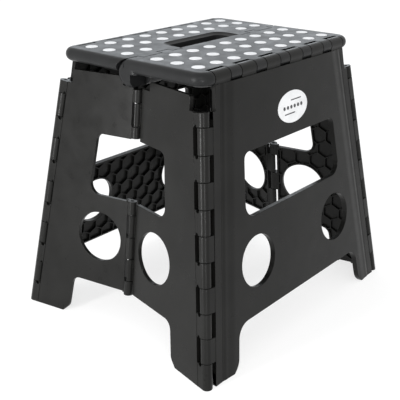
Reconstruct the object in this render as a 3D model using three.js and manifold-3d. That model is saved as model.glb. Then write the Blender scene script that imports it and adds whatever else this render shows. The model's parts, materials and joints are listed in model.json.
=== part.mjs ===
// Folding step stool: two seat halves, two leg panels and two end panels that fold
// in the middle, all joined by rods through interleaved knuckles.
// Millimetres, +Z up, origin on the floor under the centre of the seat.
// +X is the long direction, -Y the front, and the four corner hinge lines lean
// inward by the same slope, so they meet high above the stool.
import * as THREE from 'three';
import { mergeVertices } from 'three/addons/utils/BufferGeometryUtils.js';
import Module from 'manifold-3d';

const wasm = await Module();
wasm.setup();

// Driving dimensions
const lean = 0.143;              // inward travel of a corner line per unit of height
const corner = { x: 213, y: 174 };   // a corner hinge line where it meets the floor
const plate = 6;                 // panel thickness
const barrelRadius = 7.5;        // corner knuckles, flush with the panels' outer faces
const rodRadius = 2;
const holeRadius = 2.7;          // at the corners of its six sides
const edgeGap = 2;               // between a barrel and the plate that stands beside it
const tail = 4.5;                // how far past its radius a knuckle reaches into its panel
const cornerKnuckle = { first: 50, pitch: 65, count: 5, half: 16.2, gap: 0.6 };
const cornerTop = 344;           // the corner knuckles end here
const seat = {
  halfLength: 168,
  top: 389.6,
  edge: 9.1,                     // radius of the rounded rim, half the seat's thickness
  cornerRadius: 20,
  skin: 5,
};
const hingeHeight = seat.top - seat.edge;
const hingeY = corner.y - lean * hingeHeight;
const seatHalfWidth = hingeY + seat.edge;
const seatBottom = seat.top - 2 * seat.edge;
const fold = { height: seatBottom - 0.4, lug: 18.2, sweep: 19.4 };
const dot = { radius: 8.5, pitch: 34.6, firstRow: 26.6, proud: 0.4, depth: 3.4, columns: 9 };
const runner = { width: 3, depth: 1.4 };
const fit = 0.3;                 // clearance round a piece that is set into another
const knuckleSides = 12;
const boreGap = 2.35;            // half width of a bore and of a clip's mouth
const coarse = 6;                // sides of the rods and their holes
const lugSides = 20;

const up = new THREE.Vector3(0, 0, 1);
const identity = new THREE.Matrix4();

// Solids
function solid(geometry, matrix = identity) {
  const bare = geometry.clone().applyMatrix4(matrix);
  bare.deleteAttribute('normal');
  bare.deleteAttribute('uv');
  const merged = mergeVertices(bare, 1e-5);
  const triVerts = new Uint32Array(merged.index.array);
  if (matrix.determinant() < 0) triVerts.reverse();
  const vertProperties = new Float32Array(merged.attributes.position.array);
  return new wasm.Manifold(new wasm.Mesh({ numProp: 3, vertProperties, triVerts }));
}

function join(solids) {
  return solids.reduce((whole, next) => whole.add(next));
}

function cutAll(body, cutters) {
  return cutters.reduce((rest, cutter) => rest.subtract(cutter), body);
}

function block(low, high, matrix = identity) {
  const size = new THREE.Vector3().subVectors(high, low);
  const centre = new THREE.Vector3().addVectors(low, high).multiplyScalar(0.5);
  const geometry = new THREE.BoxGeometry(size.x, size.y, size.z).translate(...centre);
  return solid(geometry, matrix);
}

function vector(x, y, z) {
  return new THREE.Vector3(x, y, z);
}

function rod(from, to, radius, segments = coarse) {
  const direction = new THREE.Vector3().subVectors(to, from);
  const geometry = new THREE.CylinderGeometry(radius, radius, direction.length(), segments);
  const turn = new THREE.Quaternion().setFromUnitVectors(vector(0, 1, 0), direction.clone().normalize());
  const middle = new THREE.Vector3().addVectors(from, to).multiplyScalar(0.5);
  return solid(geometry, new THREE.Matrix4().compose(middle, turn, vector(1, 1, 1)));
}

function rodAlongX(fromX, toX, y, z, radius, segments) {
  return rod(vector(fromX, y, z), vector(toX, y, z), radius, segments);
}

// An outline through the points [x, y, corner radius]; a radius of 0 is a sharp corner.
function outline(points) {
  const shape = new THREE.Shape();
  points.forEach(([x, y, radius], i) => {
    const here = new THREE.Vector2(x, y);
    const before = new THREE.Vector2(...points.at(i - 1)).sub(here);
    const after = new THREE.Vector2(...points[(i + 1) % points.length]).sub(here);
    const halfAngle = Math.abs(before.angle() - after.angle()) / 2;
    const reach = radius / Math.abs(Math.tan(halfAngle));
    const start = before.setLength(reach).add(here);
    const end = after.setLength(reach).add(here);
    if (i === 0) shape.moveTo(start.x, start.y);
    else shape.lineTo(start.x, start.y);
    if (radius > 0) shape.quadraticCurveTo(x, y, end.x, end.y);
  });
  return shape;
}

function prism(shape, low, high, matrix = identity, curveSegments = 5) {
  const geometry = new THREE.ExtrudeGeometry(shape, {
    depth: high - low, bevelEnabled: false, curveSegments,
  });
  return solid(geometry.translate(0, 0, low), matrix);
}

function disc(x, y, radius) {
  const shape = new THREE.Shape();
  shape.absarc(x, y, radius, 0, 2 * Math.PI);
  return shape;
}

// A hinge line, by the point where it crosses the floor and its direction
function line(foot, direction) {
  return { foot, direction: direction.clone().normalize() };
}

function pointAt(axis, height) {
  const distance = (height - axis.foot.z) / axis.direction.z;
  return axis.direction.clone().multiplyScalar(distance).add(axis.foot);
}

// A panel's own frame: across is level, out is the outward normal, and the plane
// out = 0 holds the corner hinge lines. sideways is the world direction that the
// horizontal distances of the panel's features are measured along.
function panelFrame(origin, across, out, sideways) {
  const upward = new THREE.Vector3().crossVectors(out, across);
  const matrix = new THREE.Matrix4().makeBasis(across, upward, out).setPosition(origin);
  const face = barrelRadius;
  function at(distance, height) {
    const v = (height - face * out.z) / upward.z;
    const rest = sideways.dot(origin) + v * sideways.dot(upward) + face * sideways.dot(out);
    return [(distance - rest) / sideways.dot(across), v];
  }
  return { matrix, at, across, upward, out };
}

function arc(radius, from, to, steps) {
  return Array.from({ length: steps + 1 }, (_, i) => {
    const angle = from + ((to - from) * i) / steps;
    return new THREE.Vector2(radius * Math.cos(angle), radius * Math.sin(angle));
  });
}

// Section of a knuckle: a bored barrel with a tail of plate between low and high that
// reaches into its panel. A clip is open over the quarter between edge and outer side.
function knuckleShape(radius, low, high, reach, isClip) {
  const start = Math.asin(low / radius);
  const end = Math.asin(high / radius) - 2 * Math.PI;
  if (!isClip) {
    const shape = new THREE.Shape([
      new THREE.Vector2(reach, low),
      ...arc(radius, start, end, knuckleSides),
      new THREE.Vector2(reach, high),
    ]);
    shape.holes.push(new THREE.Path(arc(holeRadius, 0, 2 * Math.PI, coarse).slice(1)));
    return shape;
  }
  const mouth = Math.asin(boreGap / radius);
  return new THREE.Shape([
    new THREE.Vector2(reach, low),
    ...arc(radius, start, mouth - Math.PI, knuckleSides / 2),
    new THREE.Vector2(boreGap, -boreGap),
    ...arc(radius, Math.PI / 2 - mouth, end + 2 * Math.PI, knuckleSides / 2),
    new THREE.Vector2(reach, high),
  ]);
}

// A knuckle from one end point to the other. inward points into the panel.
function knuckle(from, to, inward, out, radius, offset, isClip = false, reach = radius + tail) {
  const along = new THREE.Vector3().subVectors(to, from);
  const inset = 0.1;
  const low = Math.max(barrelRadius - plate + inset - offset, inset - radius);
  const high = barrelRadius - inset - offset;
  const shape = knuckleShape(radius, low, high, reach, isClip);
  const matrix = new THREE.Matrix4().makeBasis(inward, out, along.clone().normalize());
  return prism(shape, 0, along.length(), matrix.setPosition(from));
}

// Knuckles on a hinge line that leans up the side of a panel; side is 1 or -1
function sideKnuckles(frame, axis, side, heights, radius, offset, isClip) {
  const inward = new THREE.Vector3().crossVectors(axis.direction, frame.out).multiplyScalar(side);
  return heights.map(([from, to]) => (
    knuckle(pointAt(axis, from), pointAt(axis, to), inward, frame.out, radius, offset, isClip)
  ));
}

const floorCut = block(vector(-400, -400, -100), vector(400, 400, 0));

// Heights of the corner knuckles: the leg panels' and, between them, the end panels'
const { first, pitch, count, half, gap } = cornerKnuckle;
const legKnuckles = Array.from({ length: count }, (_, k) => [
  first + pitch * k - half,
  first + pitch * k + half,
]);
const endKnuckles = Array.from({ length: count + 1 }, (_, k) => [
  k === 0 ? -barrelRadius : legKnuckles[k - 1][1] + gap,
  k === count ? cornerTop : legKnuckles[k][0] - gap,
]);

// The left front corner line; the other three are its mirror images.
const leftFront = line(
  vector(-corner.x, -corner.y, 0),
  vector(lean, lean, 1),
);
const rightFront = line(
  vector(corner.x, -corner.y, 0),
  vector(-lean, lean, 1),
);

// Leg panel, drawn for the front
const leg = {
  setBack: barrelRadius + edgeGap,
  topSetBack: 15,
  top: 368.5,
  raise: 2,                      // the middle field stands this far out of the side flanges
  flange: 36,                    // from the corner line to the middle of the rise
  rise: 26,                      // width of the rise
  knuckles: [-130, -78, -26, 26, 78, 130],
  knuckleHalf: 14.6,
};
const legTilt = Math.atan(lean);
const legFrame = panelFrame(
  vector(0, -corner.y, 0),
  vector(1, 0, 0),
  vector(0, -Math.cos(legTilt), Math.sin(legTilt)),
  vector(1, 0, 0),
);

function legCornerX(height) {
  return corner.x - lean * height;
}

function legOutline() {
  const halfPoints = [
    [legCornerX(-10) - leg.setBack, -10],
    [legCornerX(cornerTop) - leg.setBack, cornerTop],
    [legCornerX(cornerTop) - leg.topSetBack, cornerTop],
    [legCornerX(leg.top) - leg.topSetBack, leg.top],
  ];
  return mirrored(legFrame, halfPoints);
}

// Closed outline from the points of the right half, [distance, height, radius]
function mirrored(frame, halfPoints) {
  const right = halfPoints.map(([x, z, r = 0]) => [...frame.at(x, z), r]);
  const left = right.map(([u, v, r]) => [-u, v, r]).reverse();
  return outline([...right, ...left]);
}

function legField() {
  const inset = leg.flange + leg.rise / 2;
  const field = mirrored(legFrame, [
    [legCornerX(-30) - inset, -30],
    [legCornerX(leg.top - leg.rise) - inset, leg.top - leg.rise],
  ]);
  const geometry = new THREE.ExtrudeGeometry(field, {
    depth: plate / 2,
    bevelThickness: leg.raise,
    bevelSize: leg.rise,
    bevelSegments: 2,
  });
  const outer = barrelRadius + leg.raise;
  return solid(geometry.translate(0, 0, outer - plate / 2 - leg.raise), legFrame.matrix);
}

function legOpenings() {
  const window = mirrored(legFrame, [[114, 196, 18], [105, 281, 10]]);
  const arch = mirrored(legFrame, [[177, -9], [156, 9, 22], [148, 61, 22]]);
  const holes = [-95, 95].map((x) => disc(...legFrame.at(x, 133), 36));
  return [
    ...[window, arch].map((shape) => prism(shape, -10, 20, legFrame.matrix)),
    ...holes.map((shape) => prism(shape, -10, 20, legFrame.matrix, 10)),
  ];
}

function legPanel() {
  const inBox = block(vector(-400, -400, -100), vector(400, 400, leg.top));
  const pieces = [prism(legOutline(), barrelRadius - plate, barrelRadius, legFrame.matrix)];
  pieces.push(legField().intersect(inBox));
  let panel = cutAll(join(pieces), legOpenings());
  const down = legFrame.upward.clone().negate();
  const top = leg.knuckles.map((x) => {
    const from = vector(x - leg.knuckleHalf, -hingeY, hingeHeight);
    const to = vector(x + leg.knuckleHalf, -hingeY, hingeHeight);
    return knuckle(from, to, down, legFrame.out, seat.edge, 0, false, hingeHeight - leg.top + 3);
  });
  panel = join([
    panel,
    ...top,
    ...sideKnuckles(legFrame, leftFront, 1, legKnuckles, barrelRadius, 0),
    ...sideKnuckles(legFrame, rightFront, -1, legKnuckles, barrelRadius, 0),
  ]);
  return panel.subtract(floorCut);
}

// End panels: the left front half is drawn; the fold line lies just outside its outer face
const end = {
  foldX: 164,                    // fold line at the middle height below
  foldHeight: 200,
  foldProud: 1,
  foldRadius: 6.5,
  top: 362,
  notchTop: 350,
  notch: 24,
  topEdge: 106,
  setBack: 11,                   // of the plate's edge from the corner line
};
const foldOut = barrelRadius + end.foldProud;

function endFrameOf() {
  const foldPoint = vector(-end.foldX, 0, end.foldHeight);
  const toFold = new THREE.Vector3().subVectors(foldPoint, leftFront.foot);
  toFold.addScaledVector(leftFront.direction, -toFold.dot(leftFront.direction));
  const width = toFold.length();
  const flat = toFold.normalize();
  const square = new THREE.Vector3().crossVectors(leftFront.direction, flat).normalize();
  const sine = foldOut / width;
  const out = flat.multiplyScalar(sine).addScaledVector(square, Math.sqrt(1 - sine * sine));
  const across = new THREE.Vector3().crossVectors(up, out).normalize();
  const origin = leftFront.foot.clone().addScaledVector(across, -leftFront.foot.y / across.y);
  return panelFrame(origin, across, out, vector(0, -1, 0));
}

const endFrame = endFrameOf();

function foldLine() {
  const at = (v) => {
    const point = vector(0, v, foldOut).applyMatrix4(endFrame.matrix);
    return point.addScaledVector(endFrame.across, -point.y / endFrame.across.y);
  };
  const low = at(0);
  const direction = at(100).sub(low).normalize();
  low.addScaledVector(direction, -low.z / direction.z);
  return line(low, direction);
}

const leftFold = foldLine();

// Heights of the fold knuckles of the clip half and of the pin half
const clipKnuckles = [[80, 112], [145, 176], [299.5, 330]];
const pinKnuckles = [[58, 79], [113, 144], [177, 196], [283, 298.5], [331, 348]];

function endOutline() {
  const foldSetBack = end.foldRadius + edgeGap;
  const cornerEdge = (height) => corner.y - lean * height - end.setBack;
  const points = [
    [foldSetBack, -10],
    [cornerEdge(-10), -10],
    [cornerEdge(cornerTop), cornerTop],
    [end.topEdge, cornerTop],
    [end.topEdge, end.top],
    [end.notch, end.top],
    [end.notch, end.notchTop],
    [foldSetBack, end.notchTop],
  ];
  return outline(points.map(([y, z]) => [...endFrame.at(y, z), 0]));
}

function endOpenings() {
  const at = endFrame.at;
  const window = outline([
    [...at(-30, 193), 0], [...at(73, 193), 15], [...at(62, 280), 10], [...at(-30, 280), 0],
  ]);
  const arch = outline([
    [...at(-30, -9), 0], [...at(124, -9), 0], [...at(104, 10), 14], [...at(97, 60), 14],
    [...at(-30, 60), 0],
  ]);
  const hole = disc(...at(53, 132), 36);
  return [
    ...[window, arch].map((shape) => prism(shape, -10, 20, endFrame.matrix)),
    prism(hole, -10, 20, endFrame.matrix, 10),
  ];
}

// Small round reliefs in the plate's corner edge, under each leg knuckle
function reliefs() {
  return legKnuckles.map(([low]) => {
    const [u, v] = endFrame.at(corner.y - lean * low - end.setBack, low);
    return prism(disc(u, v, 2.4), -5, 15, endFrame.matrix, 3);
  });
}

function endHalf(foldKnuckles, isClip) {
  let panel = prism(endOutline(), barrelRadius - plate, barrelRadius, endFrame.matrix);
  panel = cutAll(panel, [...endOpenings(), ...reliefs()]);
  panel = join([
    panel,
    ...sideKnuckles(endFrame, leftFront, -1, endKnuckles, barrelRadius, 0),
    ...sideKnuckles(endFrame, leftFold, 1, foldKnuckles, end.foldRadius, foldOut, isClip),
  ]);
  return panel.subtract(floorCut);
}

// Seat: one rounded slab, parted along the middle with interleaved round lugs
const frontLugs = [[141, 168], [85, 105]];
const rearLugs = [[106, 140], [66, 84]];
const gripHalf = 65;             // no lugs within this distance of the middle
const pocket = { pitchX: 50, columns: 6, rib: 3, fromY: 24, toY: 103, rows: 2 };

function seatSlab() {
  const inset = seat.edge;
  const length = seat.halfLength - inset;
  const width = seatHalfWidth - inset;
  const radius = seat.cornerRadius - inset;
  const shape = outline([
    [-length, -width, radius], [length, -width, radius], [length, width, radius], [-length, width, radius],
  ]);
  const land = 0.1;
  const geometry = new THREE.ExtrudeGeometry(shape, {
    depth: 2 * land,
    bevelThickness: seat.edge - land,
    bevelSize: seat.edge,
    bevelSegments: 3,
    curveSegments: 4,
  });
  return solid(geometry.translate(0, 0, hingeHeight - land));
}

function bothSides([from, to], make) {
  return [make(from, to), make(-to, -from)];
}

// Pockets under one half, leaving a skin and a grid of ribs. sideY is -1 in front.
function pockets(sideY) {
  const cutters = [];
  const pitchY = (pocket.toY - pocket.fromY) / pocket.rows;
  for (let column = 0; column < pocket.columns; column += 1) {
    const x = (column - pocket.columns / 2) * pocket.pitchX;
    for (let row = 0; row < pocket.rows; row += 1) {
      const nearSlot = sideY > 0 && row === 0 && Math.abs(x + pocket.pitchX / 2) < 90;
      if (nearSlot) continue;
      const near = pocket.fromY + row * pitchY + pocket.rib / 2;
      const far = pocket.fromY + (row + 1) * pitchY - pocket.rib / 2;
      const [low, high] = [sideY * near, sideY * far].sort((a, b) => a - b);
      cutters.push(block(
        vector(x + pocket.rib / 2, low, seatBottom - 5),
        vector(x + pocket.pitchX - pocket.rib / 2, high, seat.top - seat.skin),
      ));
    }
  }
  return cutters;
}

// Room for the leg panel's knuckles in the seat's long edge
function edgeSlots(sideY) {
  const half = leg.knuckleHalf + 0.8;
  return leg.knuckles.flatMap((x) => [
    rodAlongX(x - half, x + half, sideY * hingeY, hingeHeight, seat.edge + 1.5, knuckleSides),
    block(
      vector(x - half, sideY < 0 ? -200 : hingeY, seatBottom - 10),
      vector(x + half, sideY < 0 ? -hingeY : 200, seat.top + 10),
    ),
  ]);
}

// sideY is -1 for the front half, which has the outermost lugs
function seatHalf(sideY, ownLugs, otherLugs) {
  const reachY = [-200 * (sideY < 0), 200 * (sideY > 0)].sort((a, b) => a - b);
  const lugLip = 4;
  const gripEdge = 0.5;
  let body = seatSlab().intersect(block(
    vector(-200, reachY[0] + (sideY > 0 ? gripEdge : 0), 300),
    vector(200, reachY[1] - (sideY < 0 ? gripEdge : 0), 400),
  ));
  const lugGap = 0.5;
  for (const lug of otherLugs) {
    const room = (from, to) => (
      rodAlongX(from - lugGap, to + lugGap, 0, fold.height, fold.sweep, lugSides)
    );
    body = cutAll(body, bothSides(lug, room));
  }
  const cap = seatSlab();
  for (const lug of ownLugs) {
    const round = bothSides(lug, (from, to) => {
      const whole = rodAlongX(from, to, 0, fold.height, fold.lug, lugSides);
      const lip = rodAlongX(from, to, 0, fold.height, fold.sweep - 0.3, lugSides).intersect(block(
        vector(from, sideY < 0 ? -20 : -lugLip, fold.height),
        vector(to, sideY < 0 ? lugLip : 20, seat.top),
      ));
      const squared = block(
        vector(from - 1, sideY < 0 ? -40 : 14, 300),
        vector(to + 1, sideY < 0 ? -14 : 40, seatBottom),
      );
      return whole.add(lip.intersect(cap)).subtract(squared);
    });
    body = join([body, ...round]);
  }
  body = cutAll(body, edgeSlots(sideY));
  body = cutAll(body, pockets(sideY));
  body = body.subtract(rodAlongX(-162, 162, sideY * hingeY, hingeHeight, holeRadius));
  const bore = (from, to) => rodAlongX(from, to, 0, fold.height, holeRadius);
  return cutAll(body, bothSides([gripHalf - 10, 162], bore));
}

// The hand slot behind the grip bar, with a shallow step round it
function handSlot() {
  const through = outline([[-57, -5, 0], [57, -5, 0], [57, 35, 12], [-57, 35, 12]]);
  const step = outline([[-64, -5, 0], [64, -5, 0], [64, 40, 15], [-64, 40, 15]]);
  return [prism(through, seatBottom - 20, seat.top + 10), prism(step, seat.top - 3, seat.top + 10)];
}

// Grip dots of one half: discs set in the top skin, tied together by hidden runners.
// grow is the clearance added all round when the seat's own pockets are cut with it.
function gripDots(sideY, grow = 0) {
  const top = seat.top + dot.proud + (grow > 0 ? 5 : 0);
  const bottom = seat.top + dot.proud - dot.depth - grow;
  const x = (column) => (column - (dot.columns - 1) / 2) * dot.pitch;
  const pieces = [];
  for (let row = 0; row < 3; row += 1) {
    const y = sideY * (dot.firstRow + row * dot.pitch);
    const interrupted = sideY > 0 && row === 0;
    for (let column = 0; column < dot.columns; column += 1) {
      if (interrupted && Math.abs(x(column)) < 80) continue;
      pieces.push(prism(disc(x(column), y, dot.radius + grow), bottom, top, identity, 4));
    }
    const spans = interrupted ? [[x(0), x(1)], [x(7), x(8)]] : [[x(0), x(8)]];
    for (const [from, to] of spans) {
      pieces.push(block(
        vector(from, y - runner.width / 2 - grow, bottom),
        vector(to, y + runner.width / 2 + grow, bottom + runner.depth + 2 * grow),
      ));
    }
  }
  const lastRow = dot.firstRow + 2 * dot.pitch;
  for (const column of [0, dot.columns - 1]) {
    pieces.push(block(
      vector(x(column) - runner.width / 2 - grow, Math.min(sideY * dot.firstRow, sideY * lastRow), bottom),
      vector(
        x(column) + runner.width / 2 + grow,
        Math.max(sideY * dot.firstRow, sideY * lastRow),
        bottom + runner.depth + 2 * grow,
      ),
    ));
  }
  return join(pieces);
}

function label() {
  const oval = new THREE.Shape();
  oval.absellipse(...legFrame.at(7, 317.5), 34.5, 21.5, 0, 2 * Math.PI);
  const face = barrelRadius + leg.raise + fit;
  return prism(oval, face, face + 0.6, legFrame.matrix, 12);
}

// Materials
const blackPlastic = { color: '#3a3a39', roughness: 0.48, metalness: 0 };
const seatPlastic = { color: '#3f4347', roughness: 0.52, metalness: 0 };
const whiteRubber = { color: '#eceef0', roughness: 0.7, metalness: 0 };
const steel = { color: '#8a8c8e', roughness: 0.35, metalness: 1 };
const whiteLabel = { color: '#e6e8ea', roughness: 0.4, metalness: 0 };

const group = new THREE.Group();

function place(name, body, look, turned = false) {
  const { vertProperties, triVerts } = body.getMesh();
  const geometry = new THREE.BufferGeometry();
  geometry.setAttribute('position', new THREE.BufferAttribute(vertProperties, 3));
  geometry.setIndex(new THREE.BufferAttribute(triVerts, 1));
  const mesh = new THREE.Mesh(geometry, new THREE.MeshStandardMaterial(look));
  mesh.name = name;
  if (turned) mesh.rotation.z = Math.PI;
  group.add(mesh);
}

const mirrorY = (body) => body.mirror([0, 1, 0]);

const frontHalf = cutAll(seatHalf(-1, frontLugs, rearLugs), [gripDots(-1, fit)]);
const rearHalf = cutAll(seatHalf(1, rearLugs, frontLugs), [gripDots(1, fit), ...handSlot()]);
place('seat_front', frontHalf, seatPlastic);
place('seat_rear', rearHalf, seatPlastic);
place('grip_dots_front', gripDots(-1), whiteRubber);
place('grip_dots_rear', gripDots(1), whiteRubber);

const panel = legPanel();
place('leg_panel_front', panel, blackPlastic);
place('leg_panel_rear', panel, blackPlastic, true);
place('label', label(), whiteLabel);

const clipHalf = endHalf(clipKnuckles, true);
const pinHalf = mirrorY(endHalf(pinKnuckles, false));
place('end_panel_left_front', clipHalf, blackPlastic);
place('end_panel_left_rear', pinHalf, blackPlastic);
place('end_panel_right_rear', clipHalf, blackPlastic, true);
place('end_panel_right_front', pinHalf, blackPlastic, true);

const cornerRod = rod(pointAt(leftFront, 8), pointAt(leftFront, cornerTop - 2), rodRadius);
place('corner_rod_left_front', cornerRod, steel);
place('corner_rod_left_rear', mirrorY(cornerRod), steel);
place('corner_rod_right_rear', cornerRod, steel, true);
place('corner_rod_right_front', mirrorY(cornerRod), steel, true);

const foldRods = { lower: [60, 194], upper: [285, 346] };
for (const [level, [from, to]] of Object.entries(foldRods)) {
  const foldRod = rod(pointAt(leftFold, from), pointAt(leftFold, to), rodRadius);
  place(`fold_rod_left_${level}`, foldRod, steel);
  place(`fold_rod_right_${level}`, foldRod, steel, true);
}

const seatRod = rodAlongX(-160, -gripHalf - 2, 0, fold.height, rodRadius);
place('seat_rod_left', seatRod, steel);
place('seat_rod_right', seatRod, steel, true);

const legRod = rodAlongX(-160, 160, -hingeY, hingeHeight, rodRadius);
place('leg_rod_front', legRod, steel);
place('leg_rod_rear', legRod, steel, true);

export default group;
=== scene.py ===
"""Folding step stool: the looks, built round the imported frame. Lengths are in millimetres
until a mesh is made, and the panels' outlines are drawn in each panel's own plane."""
import json
import math

import bmesh
import bpy
from mathutils import Matrix, Vector


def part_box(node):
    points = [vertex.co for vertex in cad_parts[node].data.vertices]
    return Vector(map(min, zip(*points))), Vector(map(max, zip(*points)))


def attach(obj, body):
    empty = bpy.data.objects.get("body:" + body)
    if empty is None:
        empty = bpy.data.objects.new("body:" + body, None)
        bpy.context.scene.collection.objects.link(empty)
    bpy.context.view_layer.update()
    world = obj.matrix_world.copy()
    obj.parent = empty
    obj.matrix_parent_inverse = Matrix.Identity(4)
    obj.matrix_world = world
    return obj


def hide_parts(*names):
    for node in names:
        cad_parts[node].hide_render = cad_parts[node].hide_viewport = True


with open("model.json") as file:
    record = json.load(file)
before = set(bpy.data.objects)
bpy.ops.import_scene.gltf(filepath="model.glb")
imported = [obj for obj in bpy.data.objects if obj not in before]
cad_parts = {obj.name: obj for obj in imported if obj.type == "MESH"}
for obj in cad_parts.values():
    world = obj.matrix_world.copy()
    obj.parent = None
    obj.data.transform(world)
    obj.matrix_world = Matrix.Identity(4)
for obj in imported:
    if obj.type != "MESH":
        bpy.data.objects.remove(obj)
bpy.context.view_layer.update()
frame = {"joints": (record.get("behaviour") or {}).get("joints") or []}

MM = 0.001
joints = {joint["name"]: joint for joint in frame["joints"]}


def joint_point(name):
    return Vector(joints[name]["pos_m"]) / MM


# Driving dimensions, as in the frame. CORNER is where the left front hinge line meets the
# floor, LINE is the line's direction, and LEAN its inward travel per unit of height.
CORNER = joint_point("corner_left_front")
LINE = Vector(joints["corner_left_front"]["axis"])
LINE = (LINE * math.copysign(1, LINE.z)).normalized()
LEAN = LINE.x / LINE.z
HINGE = joint_point("rear_leg_hinge")              # seat to leg hinge, on the rear side
FOLD_HEIGHT = joint_point("seat_fold").z
SEAT_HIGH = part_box("seat_front")[1] / MM
SEAT_TOP = SEAT_HIGH.z
SEAT_HALF_LENGTH = SEAT_HIGH.x
EDGE = SEAT_TOP - HINGE.z                          # radius of the seat's rounded rim
SEAT_BOTTOM = SEAT_TOP - 2 * EDGE
SEAT_HALF_WIDTH = HINGE.y + EDGE
SEAT_CORNER = 20                                   # radius of the seat's corners, from above
DOT_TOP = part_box("grip_dots_front")[1].z / MM
PLATE = 6                                          # thickness of a panel
BARREL = 7.5                                       # radius of the corner knuckles
TAIL = 4.5                                         # how far a knuckle reaches past its barrel
ROD = 2                                            # radius of a hinge rod
BORE = 2.35                                        # radius of a rod's bore
KNUCKLE_GAP = 0.6                                  # between one knuckle and the next
EDGE_GAP = 2                                       # from a barrel to the other panel's edge
CORNER_TOP = 344                                   # top of the corner hinges
SKIN = 2.2                                         # plate left behind the rib pockets
BORDER = 3                                         # plate left round the rib pockets
JOIN = 0.05                                        # what a joined solid stops short of a face
BELOW, ABOVE = -20, 400                            # heights well below and above the stool


# Mesh code
def mesh_object(name, points, faces):
    mesh = bpy.data.meshes.new(name)
    mesh.from_pydata([Vector(point) * MM for point in points], [], faces)
    work = bmesh.new()
    work.from_mesh(mesh)
    bmesh.ops.recalc_face_normals(work, faces=work.faces)
    work.to_mesh(mesh)
    work.free()
    piece = bpy.data.objects.new(name, mesh)
    bpy.context.scene.collection.objects.link(piece)
    return piece


def loft(name, rings):
    """A closed solid through rings of points, with a flat face on each end."""
    count = len(rings[0])
    points = [point for ring in rings for point in ring]
    faces = [list(range(count))[::-1], [len(points) - count + i for i in range(count)]]
    for layer in range(len(rings) - 1):
        low, high = layer * count, (layer + 1) * count
        for i in range(count):
            after = (i + 1) % count
            faces.append([low + i, low + after, high + after, high + i])
    return mesh_object(name, points, faces)


def prism(outline, low, high, place=Matrix.Identity(4), name="prism"):
    rings = [[place @ Vector((x, y, level)) for x, y in outline] for level in (low, high)]
    return loft(name, rings)


def joined(pieces, name="joined"):
    """One object that holds separate solids that don't touch."""
    work = bmesh.new()
    for piece in pieces:
        work.from_mesh(piece.data)
        bpy.data.objects.remove(piece)
    mesh = bpy.data.meshes.new(name)
    work.to_mesh(mesh)
    work.free()
    whole = bpy.data.objects.new(name, mesh)
    bpy.context.scene.collection.objects.link(whole)
    return whole


def apply_modifiers(piece):
    bpy.context.view_layer.update()
    graph = bpy.context.evaluated_depsgraph_get()
    mesh = bpy.data.meshes.new_from_object(piece.evaluated_get(graph))
    piece.modifiers.clear()
    piece.data = mesh


def boolean(body, tool, operation):
    modifier = body.modifiers.new("boolean", "BOOLEAN")
    modifier.object = tool
    modifier.operation = operation
    modifier.solver = "MANIFOLD"
    apply_modifiers(body)
    bpy.data.objects.remove(tool)
    return body


def union(body, *tools):
    for tool in tools:
        boolean(body, tool, "UNION")
    return body


def cut(body, *tools):
    for tool in tools:
        boolean(body, tool, "DIFFERENCE")
    return body


def tidy(piece, shortest=0.03):
    """Merges points that lie together and faces that lie in one plane."""
    work = bmesh.new()
    work.from_mesh(piece.data)
    bmesh.ops.remove_doubles(work, verts=work.verts, dist=shortest * MM)
    bmesh.ops.dissolve_degenerate(work, dist=shortest * MM, edges=work.edges)
    flat = math.radians(0.4)
    bmesh.ops.dissolve_limit(work, angle_limit=flat, verts=work.verts, edges=work.edges)
    wide = [face for face in work.faces if len(face.verts) > 4]
    bmesh.ops.triangulate(work, faces=wide, quad_method="BEAUTY", ngon_method="BEAUTY")
    work.to_mesh(piece.data)
    work.free()


def soften(piece, width=0.5, segments=2, sharp_angle=40):
    """Rounds the hard edges, with shading that leaves the flat faces looking flat."""
    tidy(piece)
    piece.data.shade_smooth()
    bevel = piece.modifiers.new("round edges", "BEVEL")
    bevel.width = width * MM
    bevel.segments = segments
    bevel.limit_method = "ANGLE"
    bevel.angle_limit = math.radians(sharp_angle)
    bevel.use_clamp_overlap = False
    bevel.face_strength_mode = "FSTR_ALL"
    normals = piece.modifiers.new("flat faces", "WEIGHTED_NORMAL")
    normals.use_face_influence = True
    apply_modifiers(piece)


def shade(piece, sharp_angle=40):
    """Smooth shading that stops at the hard edges."""
    work = bmesh.new()
    work.from_mesh(piece.data)
    for face in work.faces:
        face.smooth = True
    limit = math.radians(sharp_angle)
    for edge in work.edges:
        edge.smooth = len(edge.link_faces) == 2 and edge.calc_face_angle(math.pi) < limit
    work.to_mesh(piece.data)
    work.free()


def copy_of(piece, name, matrix):
    mesh = piece.data.copy()
    mesh.transform(matrix)
    if matrix.determinant() < 0:
        mesh.flip_normals()
    twin = bpy.data.objects.new(name, mesh)
    bpy.context.scene.collection.objects.link(twin)
    return twin


def arc(radius, start, end, steps, centre=(0, 0)):
    angles = [start + (end - start) * i / steps for i in range(steps + 1)]
    return [(centre[0] + radius * math.cos(a), centre[1] + radius * math.sin(a)) for a in angles]


def disc(x, y, radius, steps=64):
    return arc(radius, 0, 2 * math.pi, steps, (x, y))[:-1]


def rounded(corners, steps=8):
    """An outline through [x, y, radius] corners, each rounded by an arc of its radius."""
    outline = []
    for i, (x, y, radius) in enumerate(corners):
        here = Vector((x, y))
        if radius == 0:
            outline.append((x, y))
            continue
        before = (Vector(corners[i - 1][:2]) - here).normalized()
        after = (Vector(corners[(i + 1) % len(corners)][:2]) - here).normalized()
        half = before.angle(after) / 2
        centre = here + (before + after).normalized() * radius / math.sin(half)
        start = here + before * radius / math.tan(half) - centre
        end = here + after * radius / math.tan(half) - centre
        turn = math.atan2(start.cross(end), start.dot(end))
        first = math.atan2(start.y, start.x)
        outline += arc(radius, first, first + turn, steps, centre)
    return outline


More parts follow.
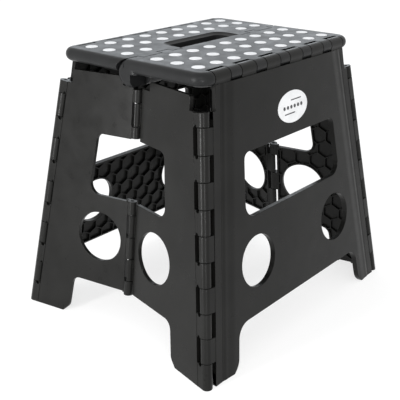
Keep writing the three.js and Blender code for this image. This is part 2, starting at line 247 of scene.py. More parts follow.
def rod(start, end, radius, steps=24, name="rod"):
    start, end = Vector(start), Vector(end)
    along = (end - start).normalized()
    side = along.orthogonal().normalized()
    other = along.cross(side)
    rings = [
        [point + side * x + other * y for x, y in disc(0, 0, radius, steps)]
        for point in (start, end)
    ]
    return loft(name, rings)


def along_x(low, high, y, z, radius, steps=48):
    return rod((low, y, z), (high, y, z), radius, steps)


def block(low, high, place=Matrix.Identity(4)):
    outline = [(low[0], low[1]), (high[0], low[1]), (high[0], high[1]), (low[0], high[1])]
    return prism(outline, low[2], high[2], place)


def point_at(line, height):
    foot, direction = line
    return foot + direction * ((height - foot.z) / direction.z)


class Panel:
    """A panel's plane: across is level, out is the outward normal, and out = 0 holds the
    corner hinge lines. Distances are measured along the world direction sideways."""

    def __init__(self, origin, across, out, sideways):
        self.origin, self.across, self.out, self.sideways = origin, across, out, sideways
        self.upward = out.cross(across)
        self.place = Matrix((
            (across.x, self.upward.x, out.x, origin.x),
            (across.y, self.upward.y, out.y, origin.y),
            (across.z, self.upward.z, out.z, origin.z),
            (0, 0, 0, 1),
        ))

    def at(self, distance, height):
        v = (height - BARREL * self.out.z) / self.upward.z
        base = self.origin + self.upward * v + self.out * BARREL
        return ((distance - self.sideways.dot(base)) / self.sideways.dot(self.across), v)

    def corners(self, points):
        return [(*self.at(x, z), radius) for x, z, radius in points]

    def mirrored(self, points):
        right = self.corners(points)
        return right + [(-u, v, radius) for u, v, radius in right[::-1]]


def knuckle(start, end, inward, out, radius, offset, reach, is_clip=False):
    """A barrel on a hinge line with a tail of plate that reaches into its panel."""
    low = max(BARREL - PLATE - offset, 2 * JOIN - radius) + JOIN
    high = BARREL - offset - JOIN
    first = math.asin(low / radius)
    last = math.asin(high / radius) - 2 * math.pi
    if is_clip:
        mouth = math.asin(BORE / radius)
        outline = [
            (reach, low),
            *arc(radius, first, mouth - math.pi, 14),
            *arc(BORE, -math.pi / 2, 0, 6),
            *arc(radius, math.pi / 2 - mouth, last + 2 * math.pi, 12),
            (reach, high),
        ]
    else:
        outline = [(reach, low), *arc(radius, first, last, 32), (reach, high)]
    rings = [[point + inward * p + out * q for p, q in outline] for point in (start, end)]
    return loft("knuckle", rings)


def side_knuckles(panel, line, side, heights, radius, offset, is_clip=False):
    inward = line[1].cross(panel.out) * side
    shape = (inward, panel.out, radius, offset, radius + TAIL, is_clip)
    return [knuckle(point_at(line, low), point_at(line, high), *shape) for low, high in heights]


def bore_along(line):
    return rod(point_at(line, BELOW), point_at(line, ABOVE), BORE)


def honeycomb(low, high, place, reach_x, reach_y, pitch=26, rib=1.8):
    """Six-sided pockets between thin ribs, over a rectangle of the panel's plane."""
    cells = []
    radius = (pitch - rib) / math.sqrt(3)
    row_pitch = pitch * math.sqrt(3) / 2
    rows = range(math.floor(reach_y[0] / row_pitch), math.ceil(reach_y[1] / row_pitch) + 1)
    for row in rows:
        shift = pitch / 2 * (row % 2)
        columns = range(math.floor(reach_x[0] / pitch) - 1, math.ceil(reach_x[1] / pitch) + 1)
        for column in columns:
            centre = (column * pitch + shift, row * row_pitch)
            start = math.pi / 6
            outline = arc(radius, start, start + 5 * math.pi / 3, 5, centre)
            cells.append(prism(outline, low, high, place))
    return joined(cells)


def rib_pockets(panel, outline, cutters, reach):
    """The pockets in a panel's inner face, clear of its edges and openings."""
    pockets = prism(outline, -5, BARREL - SKIN, panel.place)
    cut(pockets, *cutters)
    cells = honeycomb(-10, 20, panel.place, reach, (0, 380))
    return boolean(pockets, cells, "INTERSECT")


# Hinge lines and panels
LEFT_FRONT = (CORNER, LINE)
RIGHT_FRONT = (Vector((-CORNER.x, CORNER.y, 0)), Vector((-LINE.x, LINE.y, LINE.z)))
FIRST_KNUCKLE = 50                                 # height of the leg panel's lowest knuckle
KNUCKLE_PITCH = 65
KNUCKLE_HALF = 16.2
KNUCKLE_CENTRES = [FIRST_KNUCKLE + KNUCKLE_PITCH * k for k in range(5)]
LEG_KNUCKLES = [(centre - KNUCKLE_HALF, centre + KNUCKLE_HALF) for centre in KNUCKLE_CENTRES]


def spans_between(spans, low, high):
    """The spans that fill low to high round the given ones, with a gap at each."""
    starts = [low] + [span[1] + KNUCKLE_GAP for span in spans]
    ends = [span[0] - KNUCKLE_GAP for span in spans] + [high]
    return list(zip(starts, ends))


END_KNUCKLES = spans_between(LEG_KNUCKLES, -BARREL, CORNER_TOP)
# The fold's knuckles, from low to high: one half clips on to the rods that the other holds
CLIP_KNUCKLES = [(80, 112), (145, 176), (299.5, 330)]
PIN_KNUCKLES = [(58, 79), (113, 144), (177, 196), (283, 298.5), (331, 348)]
LEG_TOP = 374
LEG_SHOULDER = 15                                  # from the corner line to the narrower top
LEG_HINGES = [-130, -78, -26, 26, 78, 130]         # centres of the knuckles under the seat
LEG_HINGE_HALF = 14.6
HOLE_RADIUS = 36
TILT = math.atan(LEAN)
LEG = Panel(
    Vector((0, CORNER.y, 0)),
    Vector((1, 0, 0)),
    Vector((0, -math.cos(TILT), math.sin(TILT))),
    Vector((1, 0, 0)),
)
SET_BACK = BARREL + EDGE_GAP


def below_floor():
    return block((-400, -400, -100), (400, 400, 0))


def foot_level(inset):
    """Where an outline ends: below the floor, or for the pockets a little above it."""
    return -10 + 4 * inset


def corner_x(height):
    return -CORNER.x - LEAN * height


def corner_y(height):
    return -CORNER.y - LEAN * height


# Leg panel
RAISE = 2                                          # how far the middle field stands out
FLANGE = 36                                        # from the corner line to the middle of the rise
RISE = 26                                          # width of the rise, in two swells
FIRST_RISE = 0.8                                   # height of the first swell
GROOVE_HALF = 1.2
GROOVE_DEPTH = 0.5
CRADLE_GAP = 0.45
HINGE_REACH = 170


def leg_outline(inset=0):
    return rounded(LEG.mirrored([
        (corner_x(-10 + inset) - SET_BACK - inset, foot_level(inset), 0),
        (corner_x(CORNER_TOP) - SET_BACK - inset, CORNER_TOP - inset, 0),
        (corner_x(CORNER_TOP) - LEG_SHOULDER - inset, CORNER_TOP, 0),
        (corner_x(LEG_TOP) - LEG_SHOULDER - inset, LEG_TOP - inset, 0),
    ]))


def leg_cutters(grow=0):
    window = LEG.mirrored([
        (114 + grow, 196 - grow, 18 + grow),
        (105 + grow, 281 + grow, 10 + grow),
    ])
    arch = LEG.mirrored([
        (177 + grow, -9, 0),
        (156 + grow, 9, 22),
        (148 + grow, 61 + grow, 22 + grow),
    ])
    outlines = [rounded(window), rounded(arch)]
    outlines += [disc(*LEG.at(x, 133), HOLE_RADIUS + grow) for x in (-95, 95)]
    return [prism(outline, -10, 20, LEG.place) for outline in outlines]


def leg_field():
    """The raised middle field: two smooth swells on each side, beyond a fine groove."""
    def swell(t, start, end):
        t = min(max((t - start) / (end - start), 0), 1)
        return (1 - math.cos(math.pi * t)) / 2

    steps = 28
    sunk = 0.15
    columns = []
    for i in range(steps + 1):
        t = i / steps
        inset = FLANGE - RISE / 2 + RISE * t
        first = (FIRST_RISE + sunk) * swell(t, 0, 0.3)
        second = (RAISE - FIRST_RISE) * swell(t, 0.32, 1)
        columns.append((inset, BARREL - sunk + first + second))
    sides = []
    for height in (BELOW - 10, LEG_TOP):
        right = []
        for inset, level in columns:
            u, v = LEG.at(corner_x(height) - inset, height)
            right.append((u, v, level))
        left = [(-u, v, level) for u, v, level in right]
        section = left + right[::-1]
        back = [(u, v, PLATE / 2) for u, v, _ in (section[-1], section[0])]
        sides.append([LEG.place @ Vector(point) for point in section + back])
    return loft("field", sides)


def edge_groove(side):
    """The fine groove between a flange and the raised field."""
    inset = FLANGE - RISE / 2
    top = BARREL + 0.4
    rings = []
    for height in (BELOW - 10, LEG_TOP + 5):
        u, v = LEG.at(corner_x(height) - inset, height)
        section = [(u - GROOVE_HALF, top), (u, BARREL - GROOVE_DEPTH), (u + GROOVE_HALF, top)]
        rings.append([LEG.place @ Vector((side * x, v, level)) for x, level in section])
    return loft("groove", rings)


def leg_hinge_knuckles():
    hinge = Vector((0, -HINGE.y, HINGE.z))
    half = Vector((LEG_HINGE_HALF, 0, 0))
    centres = [hinge + Vector((x, 0, 0)) for x in LEG_HINGES]
    shape = (-LEG.upward, LEG.out, EDGE, 0, EDGE + 4)
    return [knuckle(centre - half, centre + half, *shape) for centre in centres]


def leg_panel():
    panel = prism(leg_outline(), BARREL - PLATE, BARREL, LEG.place, "leg")
    union(panel, leg_field())
    cut(panel, *[edge_groove(side) for side in (1, -1)])
    cut(panel, block((-400, -400, LEG_TOP), (400, 400, 500)), *leg_cutters())
    cut(panel, rib_pockets(LEG, leg_outline(BORDER), leg_cutters(BORDER), (-220, 220)))
    cut(panel, along_x(-HINGE_REACH, HINGE_REACH, -HINGE.y, HINGE.z, EDGE + CRADLE_GAP))
    union(panel, *leg_hinge_knuckles())
    union(panel, *side_knuckles(LEG, LEFT_FRONT, 1, LEG_KNUCKLES, BARREL, 0))
    union(panel, *side_knuckles(LEG, RIGHT_FRONT, -1, LEG_KNUCKLES, BARREL, 0))
    bores = [bore_along(line) for line in (LEFT_FRONT, RIGHT_FRONT)]
    bores.append(along_x(-HINGE_REACH, HINGE_REACH, -HINGE.y, HINGE.z, BORE, 24))
    return cut(panel, *bores, below_floor())


# End panels
FOLD_RADIUS = 6.5                                  # radius of the fold knuckles
FOLD_OUT = BARREL + 1                              # how far out of the panel the fold line lies
FOLD_POINT = Vector((-164, 0, 200))                # a point on the left fold line
END_TOP = 362
END_NOTCH = 24                                     # from the fold to the top edge's start
END_NOTCH_HEIGHT = 350
END_SHOULDER = 106
END_SET_BACK = 11
RELIEF_BLIND = 2.8
RELIEF_THROUGH = 2
RELIEF_DEPTH = 4.5


def end_panel_frame():
    to_fold = FOLD_POINT - CORNER
    to_fold -= LINE * to_fold.dot(LINE)
    sine = FOLD_OUT / to_fold.length
    flat = to_fold.normalized()
    square = LINE.cross(flat).normalized()
    out = flat * sine + square * math.sqrt(1 - sine * sine)
    across = Vector((0, 0, 1)).cross(out).normalized()
    origin = CORNER - across * (CORNER.y / across.y)
    return Panel(origin, across, out, Vector((0, -1, 0)))


END = end_panel_frame()


def fold_line():
    def at(v):
        point = END.place @ Vector((0, v, FOLD_OUT))
        return point - END.across * (point.y / END.across.y)
    low = at(0)
    direction = (at(100) - low).normalized()
    return (low - direction * (low.z / direction.z), direction)


LEFT_FOLD = fold_line()


def end_outline(inset=0):
    near = FOLD_RADIUS + EDGE_GAP + inset
    round_top = max(3 - inset, 0)
    return rounded(END.corners([
        (near, -10, 0),
        (corner_y(-10) - END_SET_BACK - inset, foot_level(inset), 0),
        (corner_y(CORNER_TOP) - END_SET_BACK - inset, CORNER_TOP - inset, 0),
        (END_SHOULDER - inset, CORNER_TOP - inset, 0),
        (END_SHOULDER - inset, END_TOP - inset, round_top),
        (END_NOTCH + inset, END_TOP - inset, round_top),
        (END_NOTCH + inset, END_NOTCH_HEIGHT - inset, 0),
        (near, END_NOTCH_HEIGHT - inset, 0),
    ]))


def end_cutters(grow=0):
    past_fold = -30
    window = END.corners([
        (past_fold, 193 - grow, 0),
        (73 + grow, 193 - grow, 15 + grow),
        (62 + grow, 280 + grow, 10 + grow),
        (past_fold, 280 + grow, 0),
    ])
    arch = END.corners([
        (past_fold, -9, 0),
        (124 + grow, -9, 0),
        (104 + grow, 10, 14),
        (97 + grow, 60 + grow, 14 + grow),
        (past_fold, 60 + grow, 0),
    ])
    outlines = [rounded(window), rounded(arch), disc(*END.at(53, 132), HOLE_RADIUS + grow)]
    return [prism(outline, -10, 20, END.place) for outline in outlines]


def end_reliefs():
    """Small round reliefs in the plate's edge, at both ends of each leg knuckle."""
    past_end = 1.5
    reliefs = []
    for low, high in LEG_KNUCKLES:
        blind = disc(*END.at(corner_y(low) - 5.5, low - past_end), RELIEF_BLIND, 24)
        reliefs.append(prism(blind, BARREL - RELIEF_DEPTH, 15, END.place))
        through = disc(*END.at(corner_y(high) - 8, high + past_end), RELIEF_THROUGH, 24)
        reliefs.append(prism(through, -5, 15, END.place))
    return reliefs


def end_half(name, fold_knuckles, is_clip):
    panel = prism(end_outline(), BARREL - PLATE, BARREL, END.place, name)
    cut(panel, *end_cutters())
    cut(panel, rib_pockets(END, end_outline(BORDER), end_cutters(BORDER), (0, 200)))
    union(panel, *side_knuckles(END, LEFT_FRONT, -1, END_KNUCKLES, BARREL, 0))
    union(panel, *side_knuckles(END, LEFT_FOLD, 1, fold_knuckles, FOLD_RADIUS, FOLD_OUT, is_clip))
    cut(panel, *end_reliefs())
    lines = [LEFT_FRONT] if is_clip else [LEFT_FRONT, LEFT_FOLD]
    bores = [bore_along(line) for line in lines]
    return cut(panel, *bores, below_floor())


# Seat
LUG = 18.2                                         # radius of the centre hinge's lugs
LUG_FLAT = 7                                       # where the flat below a lug begins
SWEEP = 19.4                                       # radius cleared for the other half's lugs
LUG_GAP = 0.8                                      # along the hinge, between two lugs
BORE_END = 162                                     # how far out the bores reach
ROD_END = 160                                      # how far out the rods reach
FRONT_LUGS = [(141, SEAT_HALF_LENGTH), (85, 105)]
REAR_LUGS = [(106, 140), (66, 84)]


def seat_ring(turn):
    """The seat's rounded rectangle, at an angle round its rim from -90 to 90 degrees."""
    inset = EDGE * (1 - math.cos(turn))
    length = SEAT_HALF_LENGTH - inset
    width = SEAT_HALF_WIDTH - inset
    radius = SEAT_CORNER - inset
    corners = [(-length, -width), (length, -width), (length, width), (-length, width)]
    return rounded([(x, y, radius) for x, y in corners], 10)


def seat_slab():
    steps = 16
    turns = [math.pi * (i / steps - 0.5) for i in range(steps + 1)]
    rings = [
        [Vector((x, y, HINGE.z + EDGE * math.sin(turn))) for x, y in seat_ring(turn)]
        for turn in turns
    ]
    return loft("seat", rings)


def both(spans):
    return [span for low, high in spans for span in ((low, high), (-high, -low))]


SLOT_HALF = LEG_HINGE_HALF + 1.1
SLOT_CLEARANCE = 2.4


def edge_slots(side):
    """The slots in the seat's long edge for the leg panel's knuckles."""
    tools = []
    for x in LEG_HINGES:
        low, high = x - SLOT_HALF, x + SLOT_HALF
        tools.append(along_x(low, high, side * HINGE.y, HINGE.z, EDGE + SLOT_CLEARANCE))
        near, far = sorted((side * HINGE.y, side * 200))
        tools.append(block((low, near, SEAT_BOTTOM - 10), (high, far, SEAT_TOP + 10)))
    return tools


def end_lug(side):
    """The outermost lug, its end rounded like the rim."""
    steps = 10
    near = FRONT_LUGS[0][0]
    profile = [(near, LUG)]
    for i in range(steps + 1):
        turn = math.pi / 2 * i / steps
        x = SEAT_HALF_LENGTH - EDGE * (1 - math.sin(turn))
        profile.append((x, LUG - EDGE * (1 - math.cos(turn))))
    rings = [
        [Vector((side * x, y, FOLD_HEIGHT + z)) for y, z in disc(0, 0, radius, 64)]
        for x, radius in profile
    ]
    return loft("end lug", rings)


def seat_lug(low, high, side):
    """A lug of one seat half, with the seat's top carried across it and a flat below."""
    lip = 4
    if max(abs(low), abs(high)) == SEAT_HALF_LENGTH:
        round_lug = end_lug(math.copysign(1, high))
    else:
        round_lug = along_x(low, high, 0, FOLD_HEIGHT, LUG, 64)
    edge = along_x(low, high, 0, FOLD_HEIGHT, SWEEP - 0.3, 64)
    near, far = sorted((side * 20, -side * lip))
    boolean(edge, block((low - 1, near, FOLD_HEIGHT), (high + 1, far, SEAT_TOP)), "INTERSECT")
    boolean(edge, seat_slab(), "INTERSECT")
    union(round_lug, edge)
    near, far = sorted((side * LUG_FLAT, side * 40))
    return cut(round_lug, block((low - 1, near, 300), (high + 1, far, SEAT_BOTTOM)))


def seat_pockets(side, keep_slot):
    """Pockets between the ribs under one seat half, clear of the hand slot."""
    half_length = 154
    near, far = sorted((side * 23, side * 104))
    region = block((-half_length, near, SEAT_BOTTOM - 5), (half_length, far, SEAT_TOP - 4))
    if keep_slot:
        cut(region, block((-70, 0, 300), (70, 46, ABOVE)))
    reach = (-half_length, half_length)
    cells = honeycomb(300, ABOVE, Matrix.Identity(4), reach, (near, far), 24, 2)
    return boolean(region, cells, "INTERSECT")


def slot_outline(half_length, depth, radius):
    return rounded([
        (-half_length, -5, 0),
        (half_length, -5, 0),
        (half_length, depth, radius),
        (-half_length, depth, radius),
    ], 12)


def hand_slot():
    """The hole for a hand, and the dished edge that widens it towards the seat's top."""
    hole = slot_outline(57, 35, 12)
    wide = slot_outline(64, 41, 16)
    dish = [(3.4, 0), (3, 0.2), (2.1, 0.55), (0.8, 0.9), (-0.6, 1.05)]
    rings = []
    for depth, t in dish:
        outline = [Vector(a).lerp(Vector(b), t) for a, b in zip(hole, wide)]
        rings.append([Vector((x, y, SEAT_TOP - depth)) for x, y in outline])
    return [prism(hole, SEAT_BOTTOM - 20, SEAT_TOP + 10), loft("slot", rings)]


DOT_RADIUS = 8.5
DOT_PITCH = 34.6
DOT_ROW = 26.6                                     # from the centre line to the first row
DOT_ROWS = 3
DOT_COLUMNS = 9
DOT_SUNK = 1
SLOT_CLEAR = 80                                    # the hand slot takes the dots nearer than this


def dot_places(side):
    places = []
    for row in range(DOT_ROWS):
        for column in range(DOT_COLUMNS):
            x = (column - DOT_COLUMNS // 2) * DOT_PITCH
            if side > 0 and row == 0 and abs(x) < SLOT_CLEAR:
                continue
            places.append((x, side * (DOT_ROW + row * DOT_PITCH)))
    return places


def seat_half(name, side, own_lugs, other_lugs):
    body = seat_slab()
    body.name = name
    near, far = sorted((side * 0.5, side * 300))
    boolean(body, block((-300, near, 300), (300, far, 400)), "INTERSECT")
    for low, high in both(other_lugs):
        cut(body, along_x(low - LUG_GAP, high + LUG_GAP, 0, FOLD_HEIGHT, SWEEP, 64))
    union(body, *[seat_lug(low, high, side) for low, high in both(own_lugs)])
    cut(body, *edge_slots(side), seat_pockets(side, side > 0))
    cut(body, along_x(-BORE_END, BORE_END, side * HINGE.y, HINGE.z, BORE, 24))
    cut(body, *[along_x(low, high, 0, FOLD_HEIGHT, BORE, 24) for low, high in both([(55, BORE_END)])])
    if side > 0:
        cut(body, *hand_slot())
    sockets = [
        prism(disc(x, y, DOT_RADIUS + 0.25, 48), SEAT_TOP - DOT_SUNK, SEAT_TOP + 5)
        for x, y in dot_places(side)
    ]
    return cut(body, joined(sockets))


def grip_dots(name, side):
    """Every dot of one seat half: a disc with a rounded top edge."""
    top = DOT_TOP - SEAT_TOP
    profile = [(0, -DOT_SUNK), (0, 0), (0.12, 0.22), (0.4, top - 0.05), (1, top)]
    discs = []
    for x, y in dot_places(side):
        rings = [
            [Vector((px, py, SEAT_TOP + level)) for px, py in disc(x, y, DOT_RADIUS - inset, 48)]
            for inset, level in profile
        ]
        discs.append(loft("dot", rings))
    return joined(discs, name)


LABEL_CENTRE = LEG.at(7, 317.5)
LABEL_HALF = (34.5, 21.5)
LABEL_BACK = BARREL + RAISE + 0.1
LABEL_THICK = 0.5


def label_piece():
    rings = []
    for shrink, height in ((0, 0), (0, 0.35), (0.25, LABEL_THICK)):
        ring = [
            LEG.place @ Vector((
                LABEL_CENTRE[0] + (LABEL_HALF[0] - shrink) * x,
                LABEL_CENTRE[1] + (LABEL_HALF[1] - shrink) * y,
                LABEL_BACK + height,
            ))
            for x, y in disc(0, 0, 1, 96)
        ]
        rings.append(ring)
    return loft("oval_label", rings)


def label_marks():
    """Plain printed marks: a row of dots between two bars."""
    middle_x, middle_y = LABEL_CENTRE
    face = LABEL_BACK + LABEL_THICK
    ink = 0.08
    length, width = 24, 1.6

    def bar(x, y):
        return rounded([
            (middle_x + x + i * length / 2, middle_y + y + j * width / 2, width * 0.45)
            for i, j in ((-1, -1), (1, -1), (1, 1), (-1, 1))
        ], 5)

    outlines = [bar(8, 9), bar(-8, -8.5)]
    outlines += [disc(middle_x + x, middle_y, 2.6, 24) for x in range(-20, 21, 8)]
    marks = [prism(outline, face, face + ink, LEG.place) for outline in outlines]
    return joined(marks, "label_marks")


def place_piece(piece, body, node, slot, material):
    if slot in ("panel_plastic", "seat_plastic"):
        soften(piece)
    else:
        shade(piece)
    piece.data.materials.clear()
    piece.data.materials.append(material)
    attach(piece, body)
    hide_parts(node)
    return piece


# Materials
def new_material(name):
    material = bpy.data.materials.new(name)
    material.use_nodes = True
    nodes = material.node_tree.nodes
    return material, nodes, material.node_tree.links, nodes["Principled BSDF"]


def noise(nodes, links, scale, detail=3):
    coordinates = nodes.new("ShaderNodeTexCoord")
    texture = nodes.new("ShaderNodeTexNoise")
    texture.inputs["Scale"].default_value = scale
    texture.inputs["Detail"].default_value = detail
    links.new(coordinates.outputs["Object"], texture.inputs["Vector"])
    return texture.outputs["Fac"]


def spread(nodes, links, value, low, high):
    """The value, from its usual 0.3 to 0.7, spread over low to high."""
    ramp = nodes.new("ShaderNodeMapRange")
    ramp.inputs["From Min"].default_value = 0.3
    ramp.inputs["From Max"].default_value = 0.7
    ramp.inputs["To Min"].default_value = low
    ramp.inputs["To Max"].default_value = high
    links.new(value, ramp.inputs["Value"])
    return ramp.outputs["Result"]


def blend(nodes, links, amount, first, second):
    mix = nodes.new("ShaderNodeMix")
    mix.data_type = "RGBA"
    links.new(amount, mix.inputs[0])
    for socket, colour in ((mix.inputs[6], first), (mix.inputs[7], second)):
        if isinstance(colour, tuple):
            socket.default_value = (*colour, 1)
        else:
            links.new(colour, socket)
    return mix.outputs[2]


def bumped(nodes, links, shader, height, strength, distance):
    """Adds a bump to the shader, on top of those that it has already."""
    bump = nodes.new("ShaderNodeBump")
    bump.inputs["Strength"].default_value = strength
    bump.inputs["Distance"].default_value = distance
    links.new(height, bump.inputs["Height"])
    socket = shader.inputs["Normal"]
    if socket.is_linked:
        links.new(socket.links[0].from_socket, bump.inputs["Normal"])
    links.new(bump.outputs["Normal"], socket)


def moulded_plastic(name, colour, roughness):
    """Black moulded plastic: faint mottling, fine grain, and paler worn edges."""
    material, nodes, links, shader = new_material(name)
    shader.inputs["Specular IOR Level"].default_value = 0.15
    pale = tuple(c * 1.25 + 0.002 for c in colour)
    worn = tuple(c * 2.0 + 0.012 for c in colour)
    patches = spread(nodes, links, noise(nodes, links, 18), 0, 1)
    mottled = blend(nodes, links, patches, colour, pale)
    geometry = nodes.new("ShaderNodeNewGeometry")
    edges = nodes.new("ShaderNodeMapRange")
    edges.inputs["From Min"].default_value = 0.53
    edges.inputs["From Max"].default_value = 0.66
    edges.inputs["To Max"].default_value = 0.5
    links.new(geometry.outputs["Pointiness"], edges.inputs["Value"])
    rubbed = blend(nodes, links, edges.outputs["Result"], mottled, worn)
    links.new(rubbed, shader.inputs["Base Color"])
    rough = spread(nodes, links, noise(nodes, links, 60, 5), roughness - 0.05, roughness + 0.07)
    links.new(rough, shader.inputs["Roughness"])
    bumped(nodes, links, shader, noise(nodes, links, 22, 2), 0.25, 0.0004)
    bumped(nodes, links, shader, noise(nodes, links, 1600, 2), 0.2, 0.00006)
    return material


def soft_white(name, colour, roughness):
    """A matt, slightly dusty surface, for the dots, the label and its ink."""
    material, nodes, links, shader = new_material(name)
    dusty = tuple(c * 0.88 for c in colour)
    amount = spread(nodes, links, noise(nodes, links, 90, 6), 0, 1)
    links.new(blend(nodes, links, amount, colour, dusty), shader.inputs["Base Color"])
    rough = spread(nodes, links, noise(nodes, links, 200), roughness - 0.05, roughness + 0.1)
    links.new(rough, shader.inputs["Roughness"])
    bumped(nodes, links, shader, noise(nodes, links, 1200, 2), 0.3, 0.0001)
    return material


def wire_steel(name):
    """Dark drawn wire, mottled and faintly uneven."""
    material, nodes, links, shader = new_material(name)
    shader.inputs["Metallic"].default_value = 1
    amount = spread(nodes, links, noise(nodes, links, 300, 4), 0, 1)
    colour = blend(nodes, links, amount, (0.05, 0.05, 0.052), (0.11, 0.11, 0.11))
    links.new(colour, shader.inputs["Base Color"])
    rough = spread(nodes, links, noise(nodes, links, 150), 0.3, 0.5)
    links.new(rough, shader.inputs["Roughness"])
    bumped(nodes, links, shader, noise(nodes, links, 900), 0.2, 0.00005)
    return material


panel_plastic = moulded_plastic("panel plastic", (0.006, 0.006, 0.0055), 0.31)
# The seat's black is paler than the panels': painted light, standing in for the light that falls on
# the seat's top and rim.
seat_plastic = moulded_plastic("seat plastic", (0.0105, 0.0108, 0.0112), 0.37)
dot_rubber = soft_white("dot rubber", (0.80, 0.81, 0.83), 0.6)
label_film = soft_white("label film", (0.80, 0.81, 0.82), 0.35)
printed_ink = soft_white("printed ink", (0.06, 0.06, 0.065), 0.5)
steel = wire_steel("rod steel")

# Pieces
HALF_TURN = Matrix.Rotation(math.pi, 4, "Z")
ACROSS = Matrix.Scale(-1, 4, (0, 1, 0))


def place_panel(piece, body, node):
    return place_piece(piece, body, node, "panel_plastic", panel_plastic)


def place_dots(name, side, body, node):
    return place_piece(grip_dots(name, side), body, node, "grip_rubber", dot_rubber)


leg = leg_panel()
leg.name = "front_leg_panel"
rear_leg = copy_of(leg, "rear_leg_panel", HALF_TURN)
place_panel(leg, "leg_front", "leg_panel_front")
place_panel(rear_leg, "leg_rear", "leg_panel_rear")

clip = end_half("clip_half_left", CLIP_KNUCKLES, True)
pin = end_half("pin_half", PIN_KNUCKLES, False)
far_clip = copy_of(clip, "clip_half_right", HALF_TURN)
near_pin = copy_of(pin, "pin_half_left", ACROSS)
far_pin = copy_of(pin, "pin_half_right", HALF_TURN @ ACROSS)
bpy.data.objects.remove(pin)
place_panel(clip, "end_half_left_front", "end_panel_left_front")
place_panel(near_pin, "end_half_left_rear", "end_panel_left_rear")
place_panel(far_clip, "end_half_right_rear", "end_panel_right_rear")
place_panel(far_pin, "end_half_right_front", "end_panel_right_front")

front_seat = seat_half("front_seat_half", -1, FRONT_LUGS, REAR_LUGS)
rear_seat = seat_half("rear_seat_half", 1, REAR_LUGS, FRONT_LUGS)
place_piece(front_seat, "seat_half_front", "seat_front", "seat_plastic", seat_plastic)
place_piece(rear_seat, "seat_half_rear", "seat_rear", "seat_plastic", seat_plastic)
place_dots("front_dots", -1, "seat_half_front", "grip_dots_front")
place_dots("rear_dots", 1, "seat_half_rear", "grip_dots_rear")
place_piece(label_piece(), "leg_front", "label", "label_film", label_film)
marks = label_marks()
marks.data.materials.append(printed_ink)
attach(marks, "leg_front")


def wire(name, start, end):
    """A rod with rounded ends."""
    start, end = Vector(start), Vector(end)
    along = (end - start).normalized()
    side = along.orthogonal().normalized()
    other = along.cross(side)
    rounding = [(0, ROD - 0.5), (0.15, ROD - 0.2), (0.5, ROD)]
    stations = [(start + along * distance, radius) for distance, radius in rounding]
    stations += [(end - along * distance, radius) for distance, radius in rounding[::-1]]
    rings = [
        [point + side * x + other * y for x, y in disc(0, 0, radius, 24)]
        for point, radius in stations
    ]
    return loft(name, rings)


def place_wire(name, start, end, body, node):
    place_piece(wire(name, start, end), body, node, "rod_steel", steel)


def turned(line, height, turn_x, turn_y=1):
    """A point on a left front line, carried over to another corner or end."""
    point = point_at(line, height)
    return Vector((point.x * turn_x, point.y * turn_y, point.z))


def place_corner_rods():
    for end, turn_x in (("left", 1), ("right", -1)):
        for side, turn_y in (("front", 1), ("rear", -1)):
            start = turned(LEFT_FRONT, 8, turn_x, turn_y)
            stop = turned(LEFT_FRONT, CORNER_TOP - 2, turn_x, turn_y)
            where = f"{end}_{side}"
            place_wire(f"corner_wire_{where}", start, stop, f"leg_{side}", f"corner_rod_{where}")


def place_fold_rods():
    for end, body, turn in (("left", "end_half_left_rear", 1), ("right", "end_half_right_front", -1)):
        for level, low, high in (("lower", 60, 194), ("upper", 285, 346)):
            start = turned(LEFT_FOLD, low, turn)
            stop = turned(LEFT_FOLD, high, turn)
            place_wire(f"fold_wire_{end}_{level}", start, stop, body, f"fold_rod_{end}_{level}")


def place_seat_rods():
    for end, turn in (("left", -1), ("right", 1)):
        start = (turn * 67, 0, FOLD_HEIGHT)
        stop = (turn * ROD_END, 0, FOLD_HEIGHT)
        place_wire(f"seat_wire_{end}", start, stop, "seat_half_rear", f"seat_rod_{end}")
    for side, turn in (("front", -1), ("rear", 1)):
        start = (-ROD_END, turn * HINGE.y, HINGE.z)
        stop = (ROD_END, turn * HINGE.y, HINGE.z)
        place_wire(f"leg_wire_{side}", start, stop, f"leg_{side}", f"leg_rod_{side}")


place_corner_rods()
place_fold_rods()
place_seat_rods()


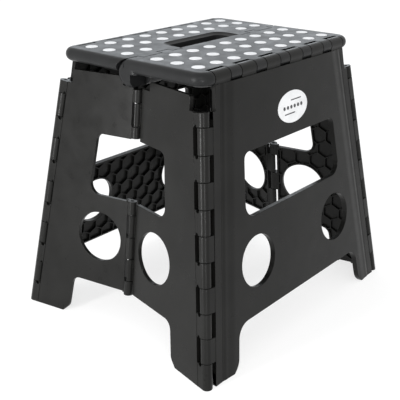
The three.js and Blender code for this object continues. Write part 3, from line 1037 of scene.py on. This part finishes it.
# Stage, light and camera
def area_light(name, location, target, size, power, colour=(1, 1, 1)):
    data = bpy.data.lights.new(name, "AREA")
    data.shape = "RECTANGLE"
    data.size, data.size_y = size
    data.energy = power
    data.color = colour
    light = bpy.data.objects.new(name, data)
    bpy.context.scene.collection.objects.link(light)
    light.location = location
    direction = Vector(target) - Vector(location)
    light.rotation_euler = direction.to_track_quat("-Z", "Y").to_euler()
    return light


def pale_floor():
    mesh = bpy.data.meshes.new("floor")
    half = 20
    corners = [(-half, -half, 0), (half, -half, 0), (half, half, 0), (-half, half, 0)]
    mesh.from_pydata(corners, [], [(0, 1, 2, 3)])
    floor = bpy.data.objects.new("floor", mesh)
    bpy.context.scene.collection.objects.link(floor)
    material, nodes, links, shader = new_material("floor")
    shader.inputs["Base Color"].default_value = (0.3, 0.3, 0.3, 1)
    shader.inputs["Roughness"].default_value = 0.9
    shader.inputs["Emission Color"].default_value = (1, 1, 1, 1)
    shader.inputs["Emission Strength"].default_value = 0.72
    mesh.materials.append(material)


def world_light(strength):
    world = bpy.data.worlds.new("studio")
    bpy.context.scene.world = world
    world.use_nodes = True
    background = world.node_tree.nodes["Background"]
    background.inputs["Color"].default_value = (1, 1, 1, 1)
    background.inputs["Strength"].default_value = strength


def camera():
    data = bpy.data.cameras.new("camera")
    data.sensor_width = 36
    data.lens = 67.4
    data.clip_end = 50
    eye = bpy.data.objects.new("camera", data)
    bpy.context.scene.collection.objects.link(eye)
    azimuth, elevation, distance = math.radians(-49.4), math.radians(22.84), 1.1347
    target = Vector((-0.0237, 0, 0.1524))
    back = Vector((
        math.sin(azimuth) * math.cos(elevation),
        -math.cos(azimuth) * math.cos(elevation),
        math.sin(elevation),
    ))
    eye.location = target + back * distance
    eye.rotation_euler = (-back).to_track_quat("-Z", "Y").to_euler()
    bpy.context.scene.camera = eye


pale_floor()
world_light(1.0)
area_light("key", (-1.6, -1.2, 1.9), (0, 0, 0.2), (0.6, 0.6), 5)
area_light("side", (-1.25, 0.16, 0.4), (-0.2, 0, 0.2), (0.14, 0.8), 13)
area_light("front", (-1.0, -1.1, 0.3), (-0.2, -0.15, 0.1), (0.12, 0.6), 4)
area_light("back", (1.6, 1.4, 1.0), (0, 0, 0.35), (1.6, 0.8), 4.5, (0.8, 0.9, 1))
camera()
bpy.context.scene.view_settings.view_transform = "Standard"
